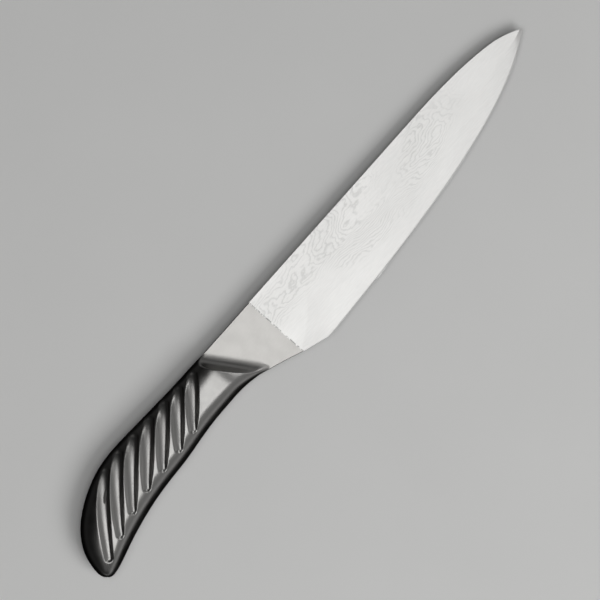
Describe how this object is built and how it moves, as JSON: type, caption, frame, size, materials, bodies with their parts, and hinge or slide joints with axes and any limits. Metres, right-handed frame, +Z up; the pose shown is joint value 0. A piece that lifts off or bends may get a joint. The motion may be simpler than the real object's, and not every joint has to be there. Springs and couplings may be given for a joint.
{
  "type": "chef knife",
  "caption": "All-metal chef knife with a laminated patterned blade, solid neck with ground coves and a hollow curved handle with slanting flutes.",
  "frame": {"origin": "bottom centre of the bounding box of the knife lying on its left side on a flat surface", "axes": "+X towards the tip of the blade, +Y towards the spine, +Z up, out of the right face of the blade"},
  "size_m": [0.3446, 0.0434, 0.0188],
  "materials": {
    "core_steel": "fine satin grind",
    "patterned_cladding": "satin, with a faint wavy layer pattern",
    "weld_steel": "ground flush",
    "satin_steel": "satin polish",
    "cast_weight": "as cast"
  },
  "bodies": {
    "root": {"blade_core": "core_steel", "cladding_right": "patterned_cladding", "cladding_left": "patterned_cladding", "blade_weld": "weld_steel", "bolster": "satin_steel", "neck_weld": "satin_steel", "handle_shell_right": "satin_steel", "handle_shell_left": "satin_steel", "handle_seam_weld": "satin_steel", "counterweight": "cast_weight"}
  },
  "joints": []
}
